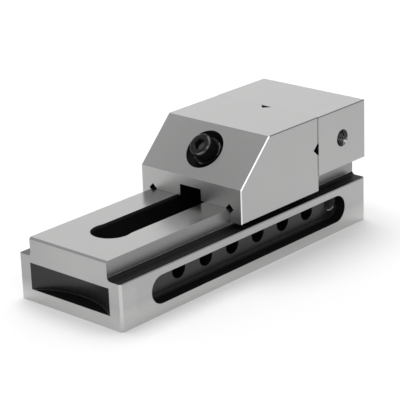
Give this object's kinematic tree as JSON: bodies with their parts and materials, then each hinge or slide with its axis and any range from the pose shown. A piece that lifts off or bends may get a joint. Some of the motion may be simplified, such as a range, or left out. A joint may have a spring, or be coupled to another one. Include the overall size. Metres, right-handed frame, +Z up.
{
  "type": "pull-down machine vise",
  "caption": "Low precision vise: a slotted base with a fixed jaw at one end and a sliding jaw that a slanting cap screw pulls both along the rail and down onto it",
  "frame": {"origin": "middle of the ground underside of the base", "axes": "+X along the length towards the fixed jaw, +Y across the width, +Z up out of the rail"},
  "size_m": [0.198, 0.073, 0.0712],
  "materials": {
    "base_steel": "hardened tool steel, outer faces surface ground; shoulders, slots, pocket and channel left black from hardening",
    "jaw_steel": "hardened tool steel, ground on all outer faces",
    "washer_steel": "black oxide steel, turned",
    "screw_steel": "black oxide alloy steel with a knurled head",
    "block_steel": "black oxide alloy steel, milled",
    "pin_steel": "hardened and ground dowel steel",
    "ball_steel": "polished bearing steel",
    "spring_steel": "plain spring wire",
    "set_screw_steel": "black oxide alloy steel"
  },
  "bodies": {
    "base": {"base_body": "base_steel"},
    "jaw": {"movable_jaw": "jaw_steel"},
    "draw": {"draw_block": "block_steel", "friction_ball": "ball_steel", "ball_spring": "spring_steel", "set_screw": "set_screw_steel"},
    "washer": {"spherical_washer": "washer_steel"},
    "screw": {"clamp_screw": "screw_steel"},
    "pin": {"cross_pin": "pin_steel"}
  },
  "joints": [
    {"name": "jaw_slide", "type": "slide", "parent": "base", "child": "jaw", "axis": [-1, 0, 0], "range_m": [0, 0.0165]},
    {"name": "draw_swing", "type": "hinge", "parent": "base", "child": "draw", "pos_m": [0.0551, 0, 0.0161], "axis": [0, -1, 0], "range_deg": [0, 7.57]},
    {"name": "washer_feed", "type": "slide", "parent": "draw", "child": "washer", "axis": [-0.7451, 0, 0.667], "range_m": [0, 0.01303]},
    {"name": "screw_turn", "type": "hinge", "parent": "washer", "child": "screw", "pos_m": [0.00746, 0, 0.05875], "axis": [-0.7451, 0, 0.667], "range_deg": [0, 3751]},
    {"name": "pin_slide", "type": "slide", "parent": "base", "child": "pin", "axis": [0, -1, 0], "range_m": [0, 0.06]}
  ],
  "couplings": [
    {"joint": "draw_swing", "follows": "jaw_slide", "rad_per_m": 7.9971},
    {"joint": "washer_feed", "follows": "jaw_slide", "ratio": 0.78916},
    {"joint": "screw_turn", "follows": "jaw_slide", "rad_per_m": 3966.8}
  ]
}
